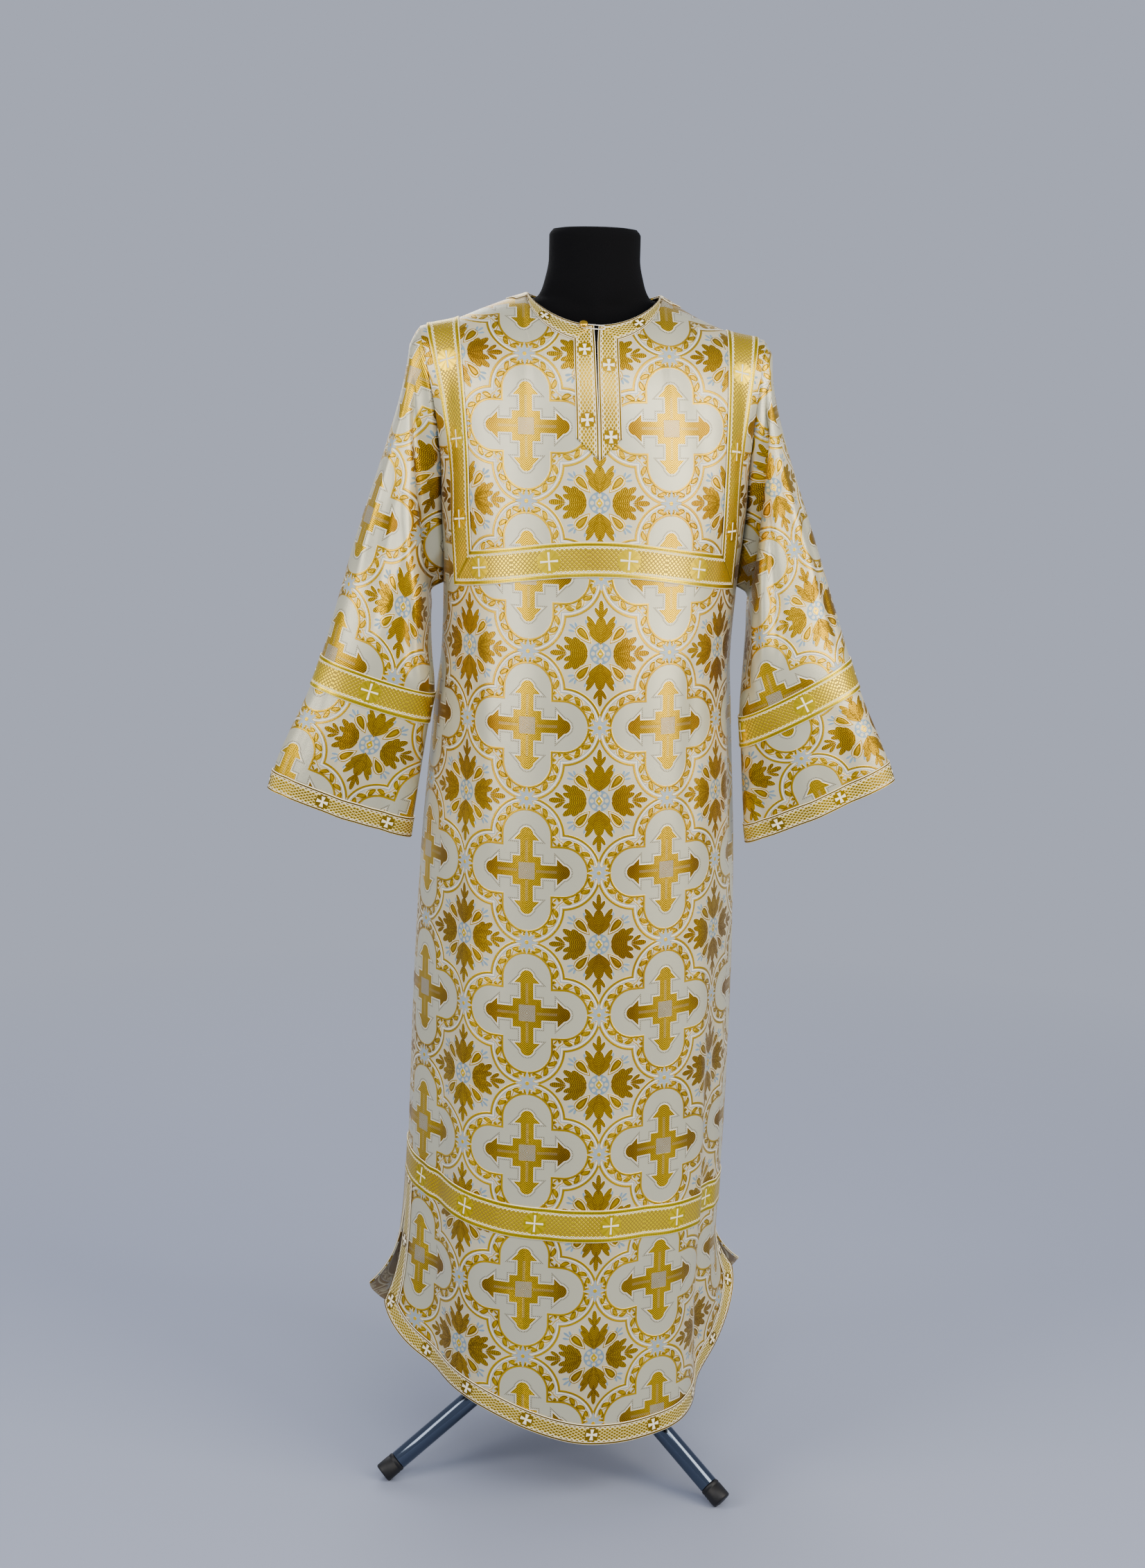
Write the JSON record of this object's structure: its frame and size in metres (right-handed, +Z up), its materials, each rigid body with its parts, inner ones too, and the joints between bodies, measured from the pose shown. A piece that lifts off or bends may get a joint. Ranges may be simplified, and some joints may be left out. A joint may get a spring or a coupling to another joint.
{
  "type": "sticharion on a dress form",
  "caption": "Full-length brocade sticharion with wide sleeves, galloon bands and a buttoned neck slit, worn by a limbless dress form on a tripod stand.",
  "frame": {"origin": "middle of the bounding box at floor level, close to the foot of the stand's pole", "axes": "+Z up, the garment's front faces -Y, +X is the viewer's right from the front"},
  "size_m": [0.8066, 0.4754, 1.638],
  "materials": {
    "brocade": "silver-white satin ground with gold lurex crosses and leaves",
    "galloon": "gold metallic woven trim with a diamond trellis",
    "jersey": "matt black stretch jersey",
    "chrome_steel": "polished chrome plate on steel tube",
    "foot_plastic": "moulded black plastic",
    "gilt_metal": "gilt domed metal",
    "thread": "white buttonhole thread"
  },
  "bodies": {
    "root": {"front_panel": "brocade", "back_panel": "brocade", "sleeve_left": "brocade", "sleeve_right": "brocade", "neck_trim_left": "galloon", "neck_trim_right": "galloon", "neck_trim_back": "galloon", "slit_trim_left": "galloon", "slit_trim_right": "galloon", "shoulder_band_left": "galloon", "shoulder_band_right": "galloon", "sleeve_band_left": "galloon", "sleeve_band_right": "galloon", "cuff_trim_left": "galloon", "cuff_trim_right": "galloon", "chest_band_front": "galloon", "chest_band_back": "galloon", "hem_band_front": "galloon", "hem_band_back": "galloon", "hem_trim_front": "galloon", "hem_trim_back": "galloon", "side_slit_trim_front_left": "galloon", "side_slit_trim_front_right": "galloon", "side_slit_trim_back_left": "galloon", "side_slit_trim_back_right": "galloon", "button": "gilt_metal", "button_loop": "thread", "form_torso": "jersey", "stand_pole": "chrome_steel", "stand_hub": "chrome_steel", "stand_leg_left": "chrome_steel", "stand_leg_right": "chrome_steel", "stand_leg_back": "chrome_steel", "foot_cap_left": "foot_plastic", "foot_cap_right": "foot_plastic", "foot_cap_back": "foot_plastic"}
  },
  "joints": []
}
